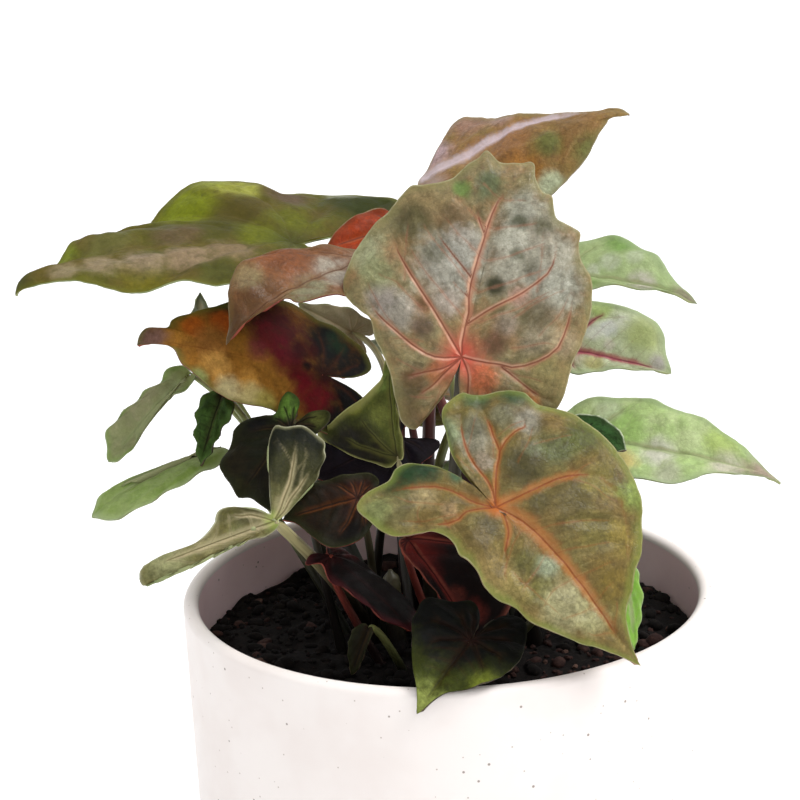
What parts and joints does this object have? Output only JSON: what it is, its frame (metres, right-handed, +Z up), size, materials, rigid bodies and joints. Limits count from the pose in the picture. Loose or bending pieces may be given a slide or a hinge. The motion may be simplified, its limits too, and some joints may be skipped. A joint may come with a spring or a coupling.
{
  "type": "potted arrowhead plant",
  "caption": "Arrowhead plant with folded and drooping arrow-shaped leaves on slender stalks, standing in soil in a round speckled ceramic pot.",
  "frame": {"origin": "centre of the pot's flat underside", "axes": "+Z up out of the pot, -Y towards the plant's front, +X to the right seen from the front"},
  "size_m": [0.1893, 0.1624, 0.2455],
  "materials": {
    "pot": "matt off-white ceramic glaze with small dark brown speckles",
    "soil": "moist crumbly potting soil with lighter fibres",
    "stem": "smooth young stem, satin",
    "leaf_green": "thin satin leaf, yellow-green, lets light through",
    "leaf_olive": "satin leaf, olive to brown with a silver sheen and orange veins",
    "leaf_red": "young leaf, pinkish brown to red, lets light through",
    "leaf_pale": "pale underside of a leaf, matt",
    "leaf_dark": "satin leaf, dark green to purple-brown"
  },
  "bodies": {
    "root": {"pot": "pot", "soil": "soil", "stem_middle": "stem", "stem_right": "stem", "stem_left": "stem", "stem_back": "stem", "leaf_top": "leaf_olive", "leaf_front_right": "leaf_olive", "leaf_back_top": "leaf_red", "leaf_left_long": "leaf_green", "leaf_left_drooping": "leaf_red", "leaf_small_red": "leaf_red", "leaf_left_red": "leaf_red", "leaf_left_hanging": "leaf_green", "leaf_left_strap": "leaf_green", "leaf_front_left": "leaf_olive", "leaf_curled": "leaf_green", "leaf_left_dark": "leaf_dark", "leaf_middle_dark": "leaf_dark", "leaf_arched_red": "leaf_red", "leaf_under_red": "leaf_red", "leaf_front_low": "leaf_dark", "leaf_right_upper": "leaf_green", "leaf_right_middle": "leaf_green", "leaf_right_lower": "leaf_green", "leaf_right_sliver": "leaf_green", "leaf_low_small": "leaf_dark", "leaf_pale_back": "leaf_pale", "leaf_left_behind": "leaf_pale", "leaf_left_wavy": "leaf_dark", "leaf_shaded": "leaf_dark", "leaf_right_dark": "leaf_dark", "leaf_back_1": "leaf_olive", "leaf_back_2": "leaf_olive", "leaf_back_3": "leaf_green", "leaf_back_4": "leaf_olive", "leaf_back_5": "leaf_olive", "leaf_back_6": "leaf_green"}
  },
  "joints": []
}
